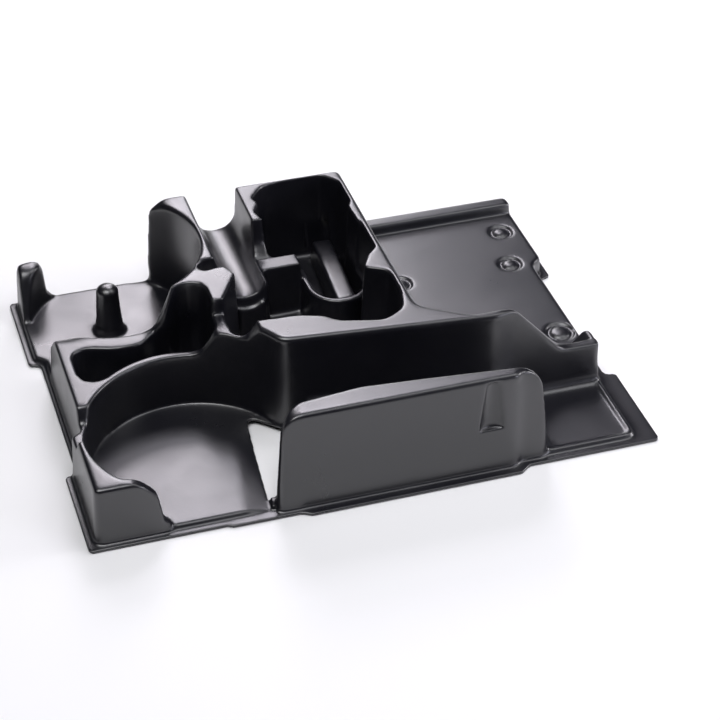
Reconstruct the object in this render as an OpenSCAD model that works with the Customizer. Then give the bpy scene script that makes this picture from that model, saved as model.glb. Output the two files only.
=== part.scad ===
// Tool case insert: one black thermoformed sheet with drafted blocks and pockets.
// Plan sizes run from the front left corner of the flange, +X along the front, +Y to the back.

/* [Sheet] */
// Length of the flange along X
tray_l = 382; // [372:1:400]
// Width of the flange from front to back
tray_w = 275; // [271:1:290]
// Thickness of the plastic sheet
sheet = 2; // [1.5:0.1:2.4]
// Draft of every formed wall, in degrees
draft = 2.5; // [2:0.1:3]
// Radius of the formed top edges
edge_r = 2.5; // [1.5:0.1:3.5]
// Fillet where a pocket wall meets its floor
floor_r = 4; // [2:0.5:5]
// Radius of the flange corners
flange_r = 3; // [1:0.5:5]

/* [Levels] */
// Height of the raised floor of the tray
floor_z = 5; // [4:0.5:7]
// Height of the floor of the right bay
bay_z = 18; // [14:0.5:22]
// Height of the low block on the left
low_z = 44; // [40:0.5:50]
// Height of the high block, the ridge and the back horn
high_z = 74; // [68:0.5:80]
// Height of the rim between the guard pocket and the small pocket
rim_z = 62; // [58:0.5:66]
// Height of the dip in the left rim
dip_z = 34; // [30:0.5:38]
// Height of the low end of the channel wall
wall_end_z = 33; // [29:0.5:36]
// Height of the floors of the deep pockets
deep_z = 8; // [6:0.5:12]

/* [Guard pocket] */
// Radius of the front left round pocket at its floor
guard_r = 67.5; // [66:0.1:68.5]
// Distance of its centre from the left edge
guard_x = 81.5; // [80.5:0.1:82.5]
// Distance of its centre from the front edge
guard_y = 56; // [55:0.1:57]

/* [Disc pocket] */
// Radius of the back left round pocket at its floor
disc_r = 59.5; // [58.5:0.1:60.5]
// Distance of its centre from the left edge
disc_x = 63.5; // [62.5:0.1:64.5]
// Distance of its centre from the back edge
disc_back = 55.5; // [54.5:0.1:56.5]
// Radius of the disc post below its dome
post_r = 7.7; // [7:0.1:9.5]
// Height of the disc post
post_z = 43; // [36:0.5:48]
// Radius of the skirt at the foot of the post
skirt_r = 10.8; // [10.5:0.1:12.5]
// Height of the left horn beside the pocket
horn_z = 38; // [34:0.5:42]

/* [Ridge] */
// Width of the foot of the front ridge along Y
ridge_w = 23; // [22:0.5:26]
// Distance of the left end of the ridge from the left edge
ridge_x = 121; // [119.5:0.5:123]
// Length of the ridge along X
ridge_l = 185; // [180:0.5:190]
// Radius of the shoulders at both ends
shoulder_r = 14; // [10:0.5:18]
// Depth of the finger catch
catch_d = 5.5; // [4.5:0.1:7]

/* [Trough] */
// Height of the bottom of the half round trough
trough_z = 39.5; // [36:0.5:44]
// Distance of the right wall of the trough from the left edge
trough_x = 166; // [165:0.5:167]
// Height of the ledge between the trough and the large pocket
ledge_z = 47; // [45:0.5:52]

/* [Large pocket] */
// Radius of the round cradle in the large pocket
cradle_r = 18; // [16:0.5:19]
// Height of the rim of the cradle
cradle_z = 35; // [30:0.5:38]
// Width of the support rib in the cradle
rib_w = 13; // [10:0.5:15]
// Height of the support rib
rib_z = 33; // [28:0.5:36]

/* [Right bay] */
// Diameter of the ring dimples
dimple_d = 18; // [16:0.5:20]
// Depth of the ring dimples
dimple_h = 2.5; // [1.5:0.1:3.5]
// Height of the back lip over the bay floor
lip_h = 8; // [5:0.5:11]
// Width of the back lip at its foot
lip_w = 14; // [10:0.5:18]

/* [Hidden] */
slope = tan(draft);
under = -6;
air_z = high_z + 12;
disc_y = tray_w - disc_back;
bulge = 5.5;          // reach of the flange in front of the ridge
strip = 5;            // flange strip beside the front block
jog = 7.5;            // step of the flange at mid length
wall_x = strip + 6.5; // outer wall along the stepped stretch
back_y = tray_w - 1.8;
right_x = tray_l - 6;
mid_x = tray_l - 14.5;
jog_y = 77;           // front end of the stepped stretch
jog_back = 78;        // its back end, from the back edge
high_x = 246.7;       // right wall of the high block
crest_y = 68.5;       // front foot of the channel wall
crest_w = 10.5;       // its width at the foot
cradle_x = 218;
cradle_y = 188;

// Corners are [x, y, radius], anticlockwise. A positive inset moves every edge inwards,
// and keeps the number of points, so levels of one outline can be joined to a solid.
function unit(v) = v / norm(v);
function left_of(v) = [-v.y, v.x];
function turn(a, b) = atan2(a.x * b.y - a.y * b.x, a * b);
function spun(v, a) = [v.x * cos(a) - v.y * sin(a), v.x * sin(a) + v.y * cos(a)];
function steps(r, a) = max(2, ceil(abs(a) / (r > 40 ? 6 : r > 13 ? 16 : 45)));
function corner(p, q, s, fit, inset) =
    let (
        e = unit([q.x - p.x, q.y - p.y]),
        f = unit([s.x - q.x, s.y - q.y]),
        a = turn(e, f),
        side = sign(a),
        v = [q.x, q.y] + inset * (left_of(e) + left_of(f)) / (1 + e * f),
        r = max(q[2] * fit - side * inset, 0.15),
        centre = v - e * r * tan(abs(a) / 2) + side * r * left_of(e),
        n = steps(q[2], a)
    )
    q[2] == 0 ? [v] : [for (k = [0 : n]) centre - side * r * spun(left_of(e), a * k / n)];
// Two radii that would meet on an edge are made smaller together
function outline(c, inset = 0) =
    let (
        n = len(c),
        edge = [for (i = [0 : n - 1]) [c[(i + 1) % n].x - c[i].x, c[(i + 1) % n].y - c[i].y]],
        cut = [for (i = [0 : n - 1]) c[i][2] * tan(abs(turn(edge[(i + n - 1) % n], edge[i])) / 2) + 0.001],
        share = [for (i = [0 : n - 1]) min(1, 0.998 * norm(edge[i]) / (cut[i] + cut[(i + 1) % n]))]
    )
    [for (i = [0 : n - 1])
        each corner(c[(i + n - 1) % n], c[i], c[(i + 1) % n], min(share[(i + n - 1) % n], share[i]), inset)];

// A solid from levels [z, points], lowest first
module loft(levels) {
    n = len(levels[0][1]);
    m = len(levels);
    polyhedron(
        points = [for (level = levels) for (p = level[1]) [p.x, p.y, level[0]]],
        faces = concat(
            [[for (i = [0 : n - 1]) i]],
            [for (k = [0 : m - 2]) for (i = [0 : n - 1])
                [k * n + i, (k + 1) * n + i, (k + 1) * n + (i + 1) % n, k * n + (i + 1) % n]],
            [[for (i = [0 : n - 1]) m * n - 1 - i]]
        )
    );
}

// A drafted block on outline c, its foot at z = 0. depth is 0 for the top skin and
// the sheet's thickness for the underside.
module block(c, top, depth, r = edge_r) {
    rr = depth > 0 ? 0 : r;
    z = top - depth;
    function level(h, more = 0) = [h, outline(c, depth + slope * h + more)];
    loft(rr > 0
        ? [level(under), level(z - rr), level(z - rr * 0.29, rr * 0.29), level(z, rr)]
        : [level(under), level(z)]);
}

// A drafted pocket with outline c at the height rim and a filleted floor
module pocket(c, bottom, rim, depth, r = floor_r) {
    z = bottom - depth;
    rr = r + depth;
    function level(h, more = 0) = [h, outline(c, slope * (rim - h) - depth + more)];
    loft([level(z, rr), level(z + rr * 0.29, rr * 0.29), level(z + rr), level(air_z)]);
}

// A profile [x, z, radius] run along Y from y0 to y1. Air grows by the sheet's thickness
// for the underside, and solid shapes shrink by it.
module along_y(profile, y0, y1, grow) {
    translate([0, y1 + grow, 0]) rotate([90, 0, 0]) linear_extrude(y1 - y0 + 2 * grow)
        offset(delta = grow) polygon(outline(profile));
}

// A profile [y, z, radius] run along X from x0 to x1
module along_x(profile, x0, x1, grow) {
    translate([x0 - grow, 0, 0]) rotate([90, 0, 90]) linear_extrude(x1 - x0 + 2 * grow)
        offset(delta = grow) polygon(outline(profile));
}

flange = [
    [0, 0, flange_r], [88, 0, 2], [92, -2, 2], [136, -2, 3], [142, -bulge, 3],
    [ridge_x + 162, -bulge, 4], [ridge_x + 169, 0, 4], [tray_l, 0, flange_r],
    [tray_l, jog_y - 3, 2], [tray_l - jog, jog_y - 1, 3],
    [tray_l - jog, tray_w - jog_back - 3, 3], [tray_l, tray_w - jog_back, 2], [tray_l, tray_w, flange_r],
    [0, tray_w, flange_r], [0, tray_w - jog_back + 2, 3], [jog, tray_w - jog_back, 3],
    [jog, jog_y, 2], [0, jog_y - 2, 2]
];

platform = [
    [strip, 5.2, 5], [mid_x, 6.5, 5], [mid_x, tray_w - 83, 4], [right_x, tray_w - 76, 4],
    [right_x, back_y, 4], [strip, back_y, 4], [strip, tray_w - 72, 4], [wall_x, tray_w - 79, 4],
    [wall_x, jog_y + 7, 3], [strip, jog_y, 4]
];

front_block = [
    [strip, 4.2, 5], [55, 4.2, 3], [51.5, 15.5, 3], [27.5, 15.5, 10],
    [guard_x - guard_r, 37, guard_r], [guard_x - guard_r, 60, 0], [strip, 60, 0]
];

left_rim = [
    [strip, 50, 0], [guard_x - guard_r + 0.2, 50, 0], [12.6, 73.8, guard_r], [25.5, 93.7, 0],
    [wall_x, 93.7, 0], [wall_x, jog_y + 3, 2], [strip, jog_y, 3]
];

// Low block, back horn, high block and channel wall: one outline, cut to height by profiles
main_block = [
    [wall_x, 84, 0], [20.1, 84, 0], [38.1, guard_y + guard_r, guard_r],
    [guard_x + guard_r * tan(30), guard_y + guard_r, guard_r], [145.5, 80.2, 14], [290, 65.3, 12],
    [304, crest_y, 12], [mid_x, crest_y, 4], [mid_x, crest_y + crest_w, 3],
    [276, crest_y + crest_w, 8], [high_x, 98, 9], [high_x, back_y, 7], [96.1, back_y, 3],
    [disc_x + disc_r, disc_y + disc_r * tan(20), disc_r], [disc_x + disc_r, disc_y - disc_r, disc_r],
    [disc_x - disc_r * tan(20), disc_y - disc_r, disc_r], [wall_x, disc_y - 34, 3]
];

left_horn = [[strip, disc_y + 11.5, 1.5], [15.4, disc_y + 40.7, disc_r], [37.5, back_y, 1], [strip, back_y, 5]];
horn_side = [
    [32, floor_z, 5], [60, floor_z, 0], [60, air_z, 0], [10, air_z, 0], [10, horn_z, 0], [24.5, horn_z, 7],
    [26.8, 12, 5]
];

ridge = [
    [ridge_x, 1.5, 4], [ridge_x + 160, 1.5, 3], [ridge_x + 165, 5, 3], [ridge_x + ridge_l, 5, 5],
    [ridge_x + ridge_l, 16, 5], [ridge_x + 159, 18, 10], [ridge_x + 101, ridge_w + 1, 30],
    [ridge_x + 60, ridge_w + 4.5, 20], [ridge_x + 17, ridge_w, 12], [ridge_x, 9, 5]
];

bay = [
    [high_x - 8, crest_y + 10, 0], [mid_x, crest_y + 10, 5], [mid_x, tray_w - 83, 5],
    [right_x, tray_w - 76, 5], [right_x, back_y, 4], [high_x - 8, back_y, 0]
];
lip = [[high_x - 8, back_y - lip_w, 0], [right_x, back_y - lip_w, 4], [right_x, back_y, 5], [high_x - 8, back_y, 0]];
fin = [[mid_x - 45, crest_y + 1, 0], [mid_x, crest_y + 1, 4], [mid_x, crest_y + 22, 6], [mid_x - 45, crest_y + 22, 0]];
fin_profile = [
    [mid_x - 45, floor_z, 0], [tray_l, floor_z, 0], [tray_l, wall_end_z + 1, 0], [mid_x - 4.5, wall_end_z + 1, 4],
    [mid_x - 22, bay_z - 1, 5], [mid_x - 45, bay_z - 3, 0]
];

guide_pocket = [
    [21.5, 104.4, 11], [72.4, 142.7, 74], [114.8, 122, 5], [114.8, 162.3, 9], [97, 162.3, 8],
    [89, 154.5, 7], [79, 154.5, 12], [68, 145.5, 14], [50, 145.5, 25], [34, 151, 20], [21.5, 151, 8]
];

wide_pocket = [
    [123.5, 113, 7], [142, 109, 8], [166, 107.5, 14], [181, 102.5, 8], [190.5, 94, 12], [219, 86.5, 12],
    [234, 96, 14], [238.8, 115, 20], [238.8, 139, 9], [223, 147.5, 3], [230.5, 161, 5], [238.5, 169, 5], [238.5, 202.2, 0],
    [trough_x, 202.2, 3], [trough_x, 184.5, 2], [133, 184.5, 1], [133, 177, 6], [138.8, 165, 2], [122.3, 137, 10]
];

// Solid left round the cradle, and the opening over it
cradle = [
    [cradle_x - cradle_r - 6, cradle_y - cradle_r - 6, cradle_r + 6],
    [cradle_x + cradle_r + 6, cradle_y - cradle_r - 6, cradle_r + 6],
    [cradle_x + cradle_r + 6, 230, 0], [cradle_x - cradle_r - 6, 230, 0]
];
over_cradle = [
    [194, 153, 0], [226, 153, 0], [230.5, 161, 5], [238.5, 169, 5], [238.5, 199, 4], [235.5, 204, 4],
    [235.5, 222, 1], [194, 222, 1]
];

large_pocket = [
    [174.5, 212.8, 4], [cradle_x - cradle_r - 1.7, 212.8, 2.5],
    [cradle_x - cradle_r - 1.7, cradle_y - cradle_r - 1.7, cradle_r + 1.5],
    [cradle_x + cradle_r + 1.2, cradle_y - cradle_r - 1.7, cradle_r + 1],
    [cradle_x + cradle_r - 0.2, 223.5, 4], [239.3, 229, 5], [239.3, 255, 7], [229.5, 266.9, 7],
    [203, 267.2, 60], [185, 265.2, 14], [174, 251.5, 4], [176.8, 244, 4], [171.3, 234, 4], [174.5, 222, 8]
];

notch = [[117, 175.5, 5], [136, 175.5, 0], [136, 187.5, 0], [117, 187.5, 5]];

low_back_profile = [[-20, low_z, 0], [80, low_z, 12], [95, high_z, 6], [95, air_z, 0], [-20, air_z, 0]];
low_front_profile = [
    [-20, low_z, 0], [102.5, low_z, 8], [113.5, rim_z, 5], [131, rim_z, 5], [138.5, high_z, 4],
    [138.5, air_z, 0], [-20, air_z, 0]
];
left_profile = [
    [50, low_z, 3], [58, low_z, 3], [61, dip_z, 4], [86, dip_z, 4], [91, low_z, 3],
    [166, low_z, 14], [180, 30, 14], [184, floor_z, 0], [205, floor_z, 0], [205, air_z, 0], [50, air_z, 0]
];
block_end_profile = [
    [26, low_z, 0], [34, low_z, 14], [46.5, 31, 12], [50, floor_z + 4, 4], [60, floor_z, 0],
    [70, floor_z, 0], [70, air_z, 0], [26, air_z, 0]
];
wall_profile = [
    [288, high_z + 0.5, 0], [303.5, high_z - 1, 13], [338.5, wall_end_z + 1, 16], [tray_l + 9, wall_end_z, 0],
    [tray_l + 9, air_z, 0], [288, air_z, 0]
];
ridge_profile = [
    [ridge_x - 0.3, under, 0], [ridge_x + ridge_l + 1, under, 0], [ridge_x + ridge_l - 8.5, high_z, shoulder_r * 1.4],
    [ridge_x + 4.6, high_z, shoulder_r]
];
trough_profile = [
    [129.5, high_z, 3], [141, trough_z, 10], [trough_x - 0.5, trough_z, 14], [trough_x, high_z, 0],
    [trough_x + 0.3, air_z, 0], [128, air_z, 0]
];
ledge_profile = [
    [180, ledge_z, 0], [213, ledge_z, 4], [221.5, ledge_z + 9, 4], [223.5, high_z, 3], [223.5, air_z, 0],
    [180, air_z, 0]
];
horn_profile = [
    [disc_y + 5, floor_z - 3, 0], [disc_y + 24.5, floor_z, 6], [disc_y + 39.5, horn_z, 8], [tray_w + 9, horn_z, 0],
    [tray_w + 9, air_z, 0], [disc_y + 5, air_z, 0]
];

module post(depth) {
    around = depth > 0 ? 20 : 32;
    r = post_r - depth;
    foot = skirt_r - depth;
    top = post_z - depth;
    translate([disc_x - 2.3, disc_y]) {
        hull() {
            translate([0, 0, floor_z - 3]) cylinder(r = r + 1.6, h = 0.01, $fn = around);
            translate([0, 0, top - 5.5]) cylinder(r = r, h = 0.01, $fn = around);
            translate([0, 0, top - 2.6]) cylinder(r = r - 1.2, h = 0.01, $fn = around);
            translate([0, 0, top - 0.8]) cylinder(r = r - 3.4 + depth / 2, h = 0.01, $fn = around);
            translate([0, 0, top]) cylinder(r = r - 6.2 + depth, h = 0.01, $fn = around);
        }
        hull() {
            translate([0, 0, floor_z - 3]) cylinder(r = foot + 0.4, h = 0.01, $fn = around);
            translate([0, 0, floor_z + 3 - depth]) cylinder(r = foot - 0.3, h = 0.01, $fn = around);
            translate([0, 0, floor_z + 5.5 - depth]) cylinder(r = r + 1.3, h = 0.01, $fn = around);
        }
    }
}

// Ring recess with a raised middle
module dimple(depth, size = dimple_d) {
    around = depth > 0 ? 16 : 28;
    r = size / 2;
    translate([0, 0, bay_z - depth]) difference() {
        hull() {
            translate([0, 0, -dimple_h]) cylinder(r = r - 1.2 + depth, h = 0.01, $fn = around);
            translate([0, 0, 0.01]) cylinder(r = r + depth, h = 0.01, $fn = around);
        }
        hull() {
            translate([0, 0, -dimple_h - 1]) cylinder(r = r * 0.76 - depth, h = 0.01, $fn = around);
            translate([0, 0, -0.9]) cylinder(r = r * 0.64 - depth, h = 0.01, $fn = around);
            translate([0, 0, -0.4]) cylinder(r = r * 0.5 - depth, h = 0.01, $fn = around);
        }
    }
}

module dimples(depth) {
    translate([mid_x - 13, 110.5]) dimple(depth, dimple_d + 3);
    for (p = [[mid_x - 16.5, tray_w - 77], [mid_x - 8.5, tray_w - 36.5], [high_x + 20.5, tray_w - 78]])
        translate(p) dimple(depth);
}

// Sloping foot along the back wall of the channel
foot_profile = [[10, under - 9, 0], [10, 28, 0], [1.5, 28, 5], [-22, floor_z - 2, 0], [-22, under - 9, 0]];
module channel_foot(depth) {
    translate([165, 78.2, 0]) rotate([0, 0, -5.9]) along_x(foot_profile, 0, 128, -depth);
}

// One step of the hollow nose in front of the trough
module nose(front, drop, depth) {
    side = trough_x - 0.6;
    difference() {
        block([[141, front, 5], [side, front, 3], [side, 192, 0], [141, 192, 0]], trough_z + 4 - drop, depth, 1);
        translate([0, 0, -drop]) along_y(trough_profile, front - 9, 200, depth);
    }
}

// Fillet along the foot of the channel wall
wall_foot = [
    [crest_y + 9, under - 9, 0], [crest_y + 9, 15, 0], [crest_y + 0.9, 15, 0], [crest_y - 0.2, floor_z - 2, 7],
    [crest_y - 12, floor_z - 2.2, 0], [crest_y - 12, under - 9, 0]
];

// Support rib: level at the front, falling a little to the back wall
module rib(depth) {
    w = rib_w - 2 * depth;
    translate([cradle_x + 1.2, 172, 0]) rotate([0, 0, -3.5]) hull() {
        translate([-w / 2, depth, under]) cube([w, 92 - 2 * depth, 1]);
        translate([-w / 2 + 0.8, depth, rib_z - 1 - depth]) cube([w - 1.6, 45, 1]);
        translate([-w / 2 + 0.8, 72, rib_z - 3 - depth]) cube([w - 1.6, 4, 1]);
    }
}

// Finger catch in the front face of the ridge, deepest at the bottom
module finger_catch(depth) {
    hull() {
        translate([ridge_x + 142.5, catch_d - 7, 34.5 - depth]) cylinder(r = 10 + depth, h = 0.01, $fn = 20);
        translate([ridge_x + 142.6, 2, high_z - 3]) cylinder(r = 5.4 + depth, h = 0.01, $fn = 20);
    }
}

// Triangular cut-out beside the ridge
cut_out = [[118.5, 14.6, 1.3], [122.5, 14.6, 1.2], [136.5, 27, 4], [152, 75, 3], [126.3, 99, 4]];

// Shallow panel in the right end of the channel floor
end_panel = [
    [ridge_x + ridge_l + 3, 9.7, 4], [mid_x - 3.2, 9.7, 4], [mid_x - 3.2, crest_y - 0.3, 1],
    [ridge_x + ridge_l + 3, crest_y - 0.3, 1]
];

// Air over the ramp that falls from the guard pocket's floor to the flange
module ramp(depth) {
    crease = [[100, 4, floor_z], [113, 78, floor_z], [125, 95, floor_z], [118.5, 4, sheet + 0.2], [124.5, 64, sheet + 0.2]];
    hull() for (p = crease, h = [0, 9]) translate([p.x, p.y, p.z + h - depth]) cube([0.01, 0.01, 0.01]);
}

// Rounding of the back horn's outer shoulder
horn_shoulder = [
    [85, low_z, 0], [100, low_z, 0], [101, high_z, 12], [120, high_z + 0.01, 0], [120, air_z, 0], [85, air_z, 0]
];

// Everything below one face of the sheet: its top face at depth 0, its underside at depth sheet
module formed(depth) {
    difference() {
        union() {
            translate([-20, -20, under]) cube([tray_l + 40, tray_w + 40, sheet - depth - under]);
            block(platform, floor_z, depth, 1.5);
            difference() {
                union() {
                    block(front_block, low_z, depth);
                    block(left_rim, low_z, depth);
                }
                along_y(block_end_profile, -9, 49, depth);
            }
            block(main_block, high_z, depth);
        }
        ramp(depth);
        pocket(end_panel, floor_z - 1.6, floor_z, depth, 0.6);
        along_y(low_back_profile, 139, tray_w + 9, depth);
        along_y(horn_shoulder, disc_y + 22, tray_w + 9, depth);
        along_y(low_front_profile, 62, 139.01, depth);
        along_x(left_profile, -9, 42, depth);
        along_y(wall_profile, 60, 100, depth);
        pocket(guide_pocket, deep_z, low_z, depth);
        difference() {
            pocket(wide_pocket, deep_z, high_z, depth, 3);
            block(cradle, high_z, depth);
        }
        pocket(large_pocket, deep_z, high_z, depth, 3);
        pocket(over_cradle, cradle_z, high_z, depth, 1);
        pocket(notch, 60, high_z, depth, 2);
        along_y(trough_profile, 177, tray_w + 9, depth);
        along_x(ledge_profile, trough_x - 1, 200, depth);
    }
    difference() {
        union() {
            block(bay, bay_z, depth, 2);
            block(lip, bay_z + lip_h, depth);
            intersection() {
                block(fin, wall_end_z + 1, depth);
                along_y(fin_profile, crest_y, crest_y + 29, -depth);
            }
        }
        dimples(depth);
    }
    difference() {
        block(left_horn, horn_z + 2, depth, 2);
        along_x(horn_profile, -9, 60, depth);
        along_y(horn_side, disc_y, tray_w + 9, depth);
    }
    difference() {
        intersection() {
            block(ridge, high_z, depth);
            translate([0, 40, 0]) rotate([90, 0, 0]) linear_extrude(60)
                offset(delta = -depth) polygon(outline(ridge_profile));
        }
        finger_catch(depth);
    }
    nose(181, 3.5, depth);
    nose(177.8, 8, depth);
    channel_foot(depth);
    intersection() {
        along_x(wall_foot, 286, mid_x + 2, -depth);
        block(platform, bay_z, depth);
    }
    rib(depth);
    post(depth);
}

module insert() {
    color([0.05, 0.05, 0.055])
    translate([-tray_l / 2, -(tray_w - bulge) / 2, 0])
    difference() {
        intersection() {
            difference() {
                formed(0);
                formed(sheet);
            }
            linear_extrude(air_z) polygon(outline(flange));
        }
        linear_extrude(30) polygon(outline(cut_out));
    }
}

insert();
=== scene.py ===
import math

import bmesh
import bpy
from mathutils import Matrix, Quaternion, Vector
from mathutils.kdtree import KDTree


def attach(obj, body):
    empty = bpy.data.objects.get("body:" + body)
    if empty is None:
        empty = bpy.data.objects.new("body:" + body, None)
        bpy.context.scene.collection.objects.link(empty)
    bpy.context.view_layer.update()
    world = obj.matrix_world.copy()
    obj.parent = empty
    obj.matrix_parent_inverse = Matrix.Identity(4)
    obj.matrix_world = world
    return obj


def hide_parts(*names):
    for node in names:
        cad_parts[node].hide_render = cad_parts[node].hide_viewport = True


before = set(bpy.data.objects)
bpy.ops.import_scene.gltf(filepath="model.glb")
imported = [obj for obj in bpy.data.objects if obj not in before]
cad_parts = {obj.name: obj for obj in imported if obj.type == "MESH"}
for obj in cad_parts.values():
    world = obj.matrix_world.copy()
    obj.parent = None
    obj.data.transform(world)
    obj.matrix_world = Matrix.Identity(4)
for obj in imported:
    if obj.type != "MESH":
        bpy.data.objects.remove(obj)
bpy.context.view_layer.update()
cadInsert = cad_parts["insert"]
mm = 0.001
print("frame loaded")


class Wave:
    # one socket of a shader, so that shader maths can be written as sums

    def __init__(self, look, socket):
        self.look, self.socket = look, socket

    def math(self, kind, *others):
        values = dict(enumerate((self, *others)))
        return self.look.node("ShaderNodeMath", {"operation": kind}, values)["Value"]

    def __add__(self, other):
        return self.math("ADD", other)

    def __radd__(self, other):
        return self.math("ADD", other)

    def __mul__(self, other):
        return self.math("MULTIPLY", other)

    def __rmul__(self, other):
        return self.math("MULTIPLY", other)

    def band(self, source, target=(0.0, 1.0)):
        # the range source becomes the range target, and stops at its ends
        values = {"Value": self, "From Min": source[0], "From Max": source[1],
                  "To Min": target[0], "To Max": target[1]}
        return self.look.node("ShaderNodeMapRange", {"clamp": True}, values)["Result"]


class Look:
    # the shader of a material or of the world

    def __init__(self, tree):
        self.tree = tree
        self.tree.nodes.clear()

    def node(self, kind, settings, values):
        node = self.tree.nodes.new(kind)
        for key, value in settings.items():
            setattr(node, key, value)
        for key, value in values.items():
            if isinstance(value, Wave):
                self.tree.links.new(value.socket, node.inputs[key])
            else:
                node.inputs[key].default_value = value
        return {out.name: Wave(self, out) for out in node.outputs}

    def noise(self, place, scale, detail, roughness):
        values = {"Vector": place, "Scale": scale, "Detail": detail, "Roughness": roughness}
        return self.node("ShaderNodeTexNoise", {}, values)["Fac"]

    def bump(self, height, strength, distance, **normal):
        values = {"Height": height, "Strength": strength, "Distance": distance, **normal}
        return self.node("ShaderNodeBump", {}, values)["Normal"]


def newMaterial(name):
    material = bpy.data.materials.new(name)
    material.use_nodes = True
    look = Look(material.node_tree)
    return material, look, look.node("ShaderNodeTexCoord", {}, {})["Object"]


def aim(obj, place, target, roll=0.0):
    obj.location = place
    obj.rotation_mode = "QUATERNION"
    turn = (Vector(target) - Vector(place)).to_track_quat("-Z", "Y")
    obj.rotation_quaternion = turn @ Quaternion((0, 0, 1), math.radians(roll))


def outward(bearing, elevation):
    # bearing in degrees clockwise from straight behind the tray, seen from above
    side, up = math.radians(bearing), math.radians(elevation)
    return Vector((math.sin(side) * math.cos(up), math.cos(side) * math.cos(up), math.sin(up)))


viewSettings = {
    "target": (0.02885, 0.00712, 0.0),  # point on the ground in the middle of the picture
    "distance": 1.48533,
    "bearing": 198.15, "elevation": 37.03, "roll": 0.79,
    "lens": 107.53, "sensor": 36,
    "clipEnd": 20,
}
target = Vector(viewSettings["target"])
away = outward(viewSettings["bearing"], viewSettings["elevation"])
bpy.ops.object.camera_add()
camera = bpy.context.object
camera.name = "camera"
camera.data.lens = viewSettings["lens"]
camera.data.sensor_width = viewSettings["sensor"]
camera.data.sensor_fit = "HORIZONTAL"
camera.data.clip_end = viewSettings["clipEnd"]
aim(camera, target + away * viewSettings["distance"], target, viewSettings["roll"])
bpy.context.scene.camera = camera
bpy.context.scene.view_settings.view_transform = "Standard"

lampReach = 1.6     # metres from the tray's middle to each lamp
lamps = [
    # name, bearing, elevation, size in metres, watts, colour
    ("backHigh", 16, 52, 0.38, 4.9, (0.99, 0.95, 1.05)),
    ("backLeft", 0, 37, 0.36, 3.4, (1.01, 0.95, 1.03)),
    ("backRight", 12, 37, 0.36, 1.7, (1.02, 0.96, 1.01)),
    ("backLow", 12, 26, 0.36, 2.8, (0.98, 0.96, 1.05)),
    ("horizon", 18, 11, 0.36, 1.2, (1.0, 1.0, 1.0)),
    ("edgeLeft", -12, 37, 0.36, 0.6, (0.98, 0.98, 1.03)),
    ("edgeRight", 24, 37, 0.36, 0.25, (0.94, 0.97, 1.1)),
    ("sideLow", 96, 22, 0.50, 9.3, (1.0, 0.98, 1.03)),
    ("sideHigh", 112, 52, 0.60, 2.2, (1.0, 0.99, 1.01)),
    ("frontLow", 135, 20, 0.50, 3.5, (0.95, 0.95, 1.1)),
    ("topRight", 90, 68, 0.60, 3.0, (0.98, 0.99, 1.03)),
    ("topFront", 195, 70, 0.70, 6.0, (0.98, 0.98, 1.04)),
    ("topLeft", -120, 68, 0.80, 9.0, (1.0, 1.0, 1.0)),
]
for name, bearing, elevation, size, watts, colour in lamps:
    bpy.ops.object.light_add(type="AREA")
    lamp = bpy.context.object
    lamp.name = name
    lamp.data.shape = "SQUARE"
    lamp.data.size = size
    lamp.data.energy = watts
    lamp.data.color = colour
    aim(lamp, outward(bearing, elevation) * lampReach, (0, 0, 0))

skySettings = {"dim": (0.55, 0.56, 0.60, 1), "dimStrength": 0.02, "white": (1, 1, 1, 1)}
world = bpy.data.worlds.new("studio")
bpy.context.scene.world = world
world.use_nodes = True
sky = Look(world.node_tree)
dim = sky.node("ShaderNodeBackground", {}, {
    "Color": skySettings["dim"], "Strength": skySettings["dimStrength"]})["Background"]
white = sky.node("ShaderNodeBackground", {}, {
    "Color": skySettings["white"], "Strength": 1.0})["Background"]
seen = sky.node("ShaderNodeLightPath", {}, {})["Is Camera Ray"]
backdrop = sky.node("ShaderNodeMixShader", {}, {0: seen, 1: dim, 2: white})["Shader"]
sky.node("ShaderNodeOutputWorld", {}, {"Surface": backdrop})

floorSettings = {
    "size": 8, "level": -0.2 * mm,      # a hair below the flange
    "colour": (0.9, 0.9, 0.9, 1), "roughness": (0.82, 0.92),
    "farStart": 0.6, "farFull": 1.3,    # metres over which the floor turns into a white backdrop
    "farColour": (1, 1, 1, 1),
}
bpy.ops.object.select_all(action="DESELECT")
bpy.ops.mesh.primitive_plane_add(size=floorSettings["size"],
                                 location=(0, 0, floorSettings["level"]))
floor = bpy.context.object
floor.name = "floor"
paper, paperLook, place = newMaterial("paper")
grain = paperLook.noise(place, 900.0, 2.0, 0.55)
near = paperLook.node("ShaderNodeBsdfPrincipled", {}, {
    "Base Color": floorSettings["colour"],
    "Roughness": grain.band((0.3, 0.7), floorSettings["roughness"]),
    "Specular IOR Level": 0.2,
    "Normal": paperLook.bump(grain, 0.05, 0.2 * mm),
})["BSDF"]
far = paperLook.node("ShaderNodeEmission", {}, {
    "Color": floorSettings["farColour"], "Strength": 1.0})["Emission"]
ray = paperLook.node("ShaderNodeLightPath", {}, {})
seen = ray["Is Camera Ray"].math("MAXIMUM", ray["Is Glossy Ray"])
seen = seen.math("MAXIMUM", ray["Is Transmission Ray"])
reach = paperLook.node("ShaderNodeVectorMath", {"operation": "LENGTH"}, {"Vector": place})["Value"]
share = seen * reach.band((floorSettings["farStart"], floorSettings["farFull"]))
surface = paperLook.node("ShaderNodeMixShader", {}, {0: share, 1: near, 2: far})["Shader"]
paperLook.node("ShaderNodeOutputMaterial", {}, {"Surface": surface})
floor.data.materials.append(paper)
print("camera, lamps and floor set")


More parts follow.
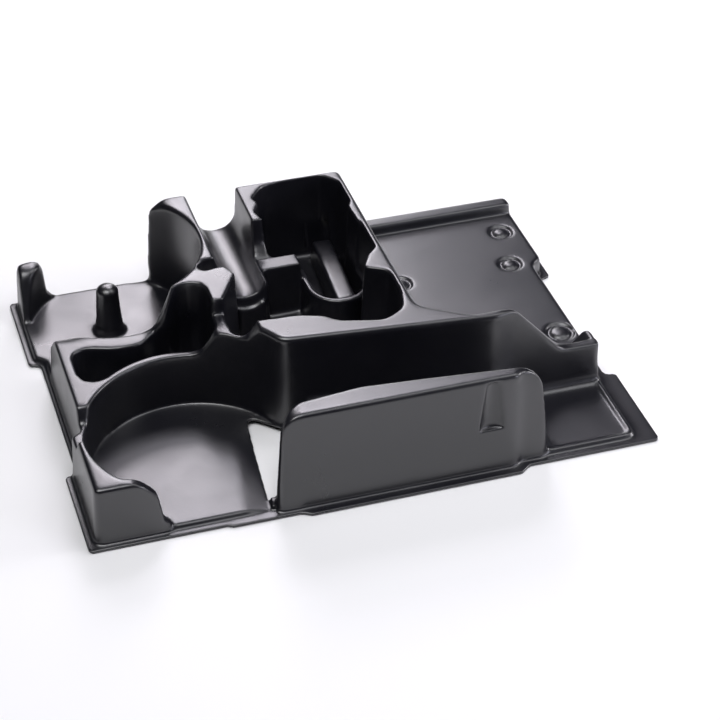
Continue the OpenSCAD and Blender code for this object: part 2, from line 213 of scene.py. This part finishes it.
# places and sizes of forms are in millimetres from the front left corner of the flange
insertSettings = {
    "corner": (-191, -134.75),
    "voxel": 0.9 * mm,                  # fine enough for both faces of the sheet
    "pull": 0.5,                        # strength of one round of smoothing
    "softRounds": 24,                   # rounds that soften every formed edge
    "wallRounds": 150,                  # more rounds on walls, away from edges
    "spotRounds": 90,                   # and again on the corners named in spots
    "edgeAngle": 20,                    # degrees between two faces of an edge that stays
    "sliver": 0.06 * mm,                # narrower faces say nothing about an edge
    "wallStart": 1.5 * mm, "wallFull": 5 * mm,
    "rimTop": 6 * mm, "rimSlope": 0.02,     # the trimmed rim is low, and its faces are upright
    "rimStart": 0.8 * mm, "rimFull": 6 * mm, "rimShare": 0.06, "rimCeiling": 12 * mm,
    "triangles": 192000,
    # corners that are rounder than the rest: x, y, z, reach
    "spots": [(12.5, 185, 43, 17), (98, 268, 6, 15), (9, 262, 38, 14), (120, 180, 74, 9)],
    "spotFade": 1.6,
    # small forms that keep their shape: x, y, z, reach, share of the smoothing that they get
    "kept": [(252, 0, 37, 13, 0.3), (275, 0, 37, 13, 0.3), (263.5, 0, 34, 15, 0.3),
             (252, 0, 50, 12, 0.4), (275, 0, 50, 12, 0.4), (365, 80, 32, 14, 0.25)],
    "keptFade": 2,
    # domes in the middle of the dimples: x, y, width of the dimple
    "dimples": [(354.5, 110.5, 21), (351, 198, 18), (359, 239, 18), (267.2, 197, 18)],
    "dome": {"lift": 1.0, "reach": 0.36, "low": 10, "high": 20},
    "post": {"x": 61.2, "y": 219.5, "reach": 10.5, "growth": 0.1, "low": 8, "blend": 6},
    "rib": {"x": 219.2, "y": 172, "angle": -3.5, "half": 8.5, "length": 94, "growth": 0.22,
            "low": 11, "high": 36, "blend": 5, "sideBlend": 1.5},
    # the back horn's shoulder falls over a wider round than in the solid
    "horn": {"x": 98.5, "y": 232, "lead": 6, "solidRound": 12, "round": 21,
             "low": 40, "full": 66, "blend": 12},
    "colour": (0.0055, 0.0055, 0.0088, 1), "specular": 1.0,
    "roughness": (0.26, 0.33), "smear": 0.05,
}


def modify(obj, kind, **settings):
    bpy.context.view_layer.objects.active = obj
    modifier = obj.modifiers.new(kind.lower(), kind)
    for key, value in settings.items():
        setattr(modifier, key, value)
    bpy.ops.object.modifier_apply(modifier=modifier.name)


def pointTree(edges, step=0.8 * mm):
    # a search tree of points along some edges
    places = []
    for a, b in edges:
        count = max(1, math.ceil((b - a).length / step))
        places += [a.lerp(b, i / count) for i in range(count + 1)]
    tree = KDTree(len(places))
    for number, place in enumerate(places):
        tree.insert(place, number)
    tree.balance()
    return tree


def ease(share):
    share = min(1.0, max(0.0, share))
    return share * share * (3 - 2 * share)


def fromCorner(place):
    cornerX, cornerY = insertSettings["corner"]
    return place.x / mm - cornerX, place.y / mm - cornerY, place.z / mm


def nearness(place, centre, reach, fade):
    # 1 at the centre and 0 at its reach, with a soft fall between them
    return ease(fade * (1 - math.dist(place, centre) / reach))


def narrowest(edge):
    # height of the thinner triangle on an edge
    return min(2 * face.calc_area() / max(side.calc_length() for side in face.edges)
               for face in edge.link_faces)


def soften(obj, rounds, weightAt):
    # rounds of smoothing, each point by its own weight
    group = obj.vertex_groups.new(name="soft")
    for vertex in obj.data.vertices:
        group.add([vertex.index], weightAt(vertex.co), "REPLACE")
    modify(obj, "SMOOTH", factor=insertSettings["pull"], iterations=rounds, vertex_group="soft")
    obj.vertex_groups.clear()


def softAt(place):
    # the thin free rim and a few small forms are softened less than the formed edges
    if place.z > insertSettings["rimCeiling"]:
        spot, fade = fromCorner(place), insertSettings["keptFade"]
        return min(1 - (1 - share) * nearness(spot, centre, reach, fade)
                   for *centre, reach, share in insertSettings["kept"])
    start, full = insertSettings["rimStart"], insertSettings["rimFull"]
    share = insertSettings["rimShare"]
    return share + (1 - share) * ease((rimTree.find(place)[2] - start) / (full - start))


def wallAt(place):
    start, full = insertSettings["wallStart"], insertSettings["wallFull"]
    return ease((edgeTree.find(place)[2] - start) / (full - start))


def spotAt(place):
    spot, fade = fromCorner(place), insertSettings["spotFade"]
    return max(nearness(spot, centre, reach, fade) for *centre, reach in insertSettings["spots"])


# each form below gives a point's move in millimetres, or nothing where the point stays
def domeMove(x, y, z):
    dome = insertSettings["dome"]
    if dome["low"] < z < dome["high"]:
        for middleX, middleY, width in insertSettings["dimples"]:
            reach = math.hypot(x - middleX, y - middleY) / (width * dome["reach"])
            if reach < 1:
                return 0.0, 0.0, dome["lift"] * (1 - reach * reach)


def postMove(x, y, z):
    post = insertSettings["post"]
    outX, outY = x - post["x"], y - post["y"]
    if z > post["low"] and math.hypot(outX, outY) < post["reach"]:
        grow = post["growth"] * ease((z - post["low"]) / post["blend"])
        return outX * grow, outY * grow, 0.0


def ribMove(x, y, z):
    rib = insertSettings["rib"]
    angle, outX, outY = math.radians(rib["angle"]), x - rib["x"], y - rib["y"]
    across = outX * math.cos(angle) + outY * math.sin(angle)
    along = outY * math.cos(angle) - outX * math.sin(angle)
    if abs(across) < rib["half"] and 0 < along < rib["length"] and rib["low"] < z < rib["high"]:
        grow = rib["growth"] * ease((z - rib["low"]) / rib["blend"])
        return across * grow * ease((rib["half"] - abs(across)) / rib["sideBlend"]), 0.0, 0.0


def shoulder(across, radius):
    # how far a quarter round lies under the flat top, across from its outer end
    gap = max(0.0, radius - across)
    return radius - math.sqrt(max(0.0, radius * radius - gap * gap))


def hornMove(x, y, z):
    horn = insertSettings["horn"]
    across = x - horn["x"]
    if -horn["lead"] < across < horn["round"] and y > horn["y"] and z > horn["low"]:
        drop = max(0.0, shoulder(across, horn["round"]) - shoulder(across, horn["solidRound"]))
        share = ease((z - horn["low"]) / (horn["full"] - horn["low"]))
        return 0.0, 0.0, -drop * share * ease((y - horn["y"]) / horn["blend"])


def reshape(obj, moves):
    for vertex in obj.data.vertices:
        spot = fromCorner(vertex.co)
        for move in moves:
            step = move(*spot)
            if step:
                vertex.co += Vector(step) * mm


# a merged copy of the solid's mesh
bpy.ops.object.select_all(action="DESELECT")
insert = bpy.data.objects.new("formedInsert", cadInsert.data.copy())
bpy.context.scene.collection.objects.link(insert)
bpy.context.view_layer.objects.active = insert
insert.select_set(True)
bpy.ops.object.mode_set(mode="EDIT")
bpy.ops.mesh.select_all(action="SELECT")
bpy.ops.mesh.remove_doubles(threshold=0.001 * mm)
bpy.ops.object.mode_set(mode="OBJECT")
insert.data.materials.clear()

# edges that stay, and the free rim of the sheet with its cut-out
shell = bmesh.new()
shell.from_mesh(insert.data)
edgeAngle = math.radians(insertSettings["edgeAngle"])
sharp = [[vert.co.copy() for vert in edge.verts] for edge in shell.edges
         if edge.calc_face_angle(0) > edgeAngle and narrowest(edge) > insertSettings["sliver"]]
rim = [[vert.co.copy() for vert in edge.verts] for face in shell.faces
       if abs(face.normal.z) < insertSettings["rimSlope"]
       and max(vert.co.z for vert in face.verts) < insertSettings["rimTop"]
       for edge in face.edges]
shell.free()
edgeTree, rimTree = pointTree(sharp), pointTree(rim)
print("edges", len(sharp), "rim", len(rim))

modify(insert, "REMESH", mode="VOXEL", voxel_size=insertSettings["voxel"], adaptivity=0.0,
       use_smooth_shade=True)
print("remeshed", len(insert.data.polygons))

soften(insert, insertSettings["softRounds"], softAt)
soften(insert, insertSettings["wallRounds"], wallAt)
reshape(insert, [domeMove, postMove, ribMove, hornMove])
soften(insert, insertSettings["spotRounds"], spotAt)
print("softened and reshaped")

# the dense mesh lends its normals to the thinned one
bpy.ops.object.shade_smooth()
dense = insert.copy()
dense.data = insert.data.copy()
bpy.context.scene.collection.objects.link(dense)
modify(insert, "DECIMATE", ratio=insertSettings["triangles"] / (2 * len(insert.data.polygons)))
modify(insert, "DATA_TRANSFER", object=dense, use_loop_data=True,
       data_types_loops={"CUSTOM_NORMAL"}, loop_mapping="POLYINTERP_NEAREST")
bpy.data.objects.remove(dense)
print("thinned", len(insert.data.polygons))

# satin black sheet: slow clouds and smears in the gloss, a soft ripple and a fine grain
blackSheet, sheetLook, place = newMaterial("blackSheet")
grain = sheetLook.noise(place, 2600.0, 2.0, 0.6)
ripple = sheetLook.noise(place, 420.0, 3.0, 0.5)
cloud = sheetLook.noise(place, 14.0, 4.0, 0.6)
smear = sheetLook.noise(place, 60.0, 5.0, 0.65)
grainBump = sheetLook.bump(grain, 0.12, 0.08 * mm)
surface = sheetLook.node("ShaderNodeBsdfPrincipled", {}, {
    "Base Color": insertSettings["colour"],
    "Roughness": (cloud.band((0.3, 0.7), insertSettings["roughness"])
                  + smear.band((0.35, 0.75), (0.0, insertSettings["smear"]))),
    "Specular IOR Level": insertSettings["specular"],
    "Normal": sheetLook.bump(ripple, 0.06, 0.4 * mm, Normal=grainBump),
})["BSDF"]
sheetLook.node("ShaderNodeOutputMaterial", {}, {"Surface": surface})
insert.data.materials.append(blackSheet)
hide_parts("insert")
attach(insert, "root")
print("insert finished")
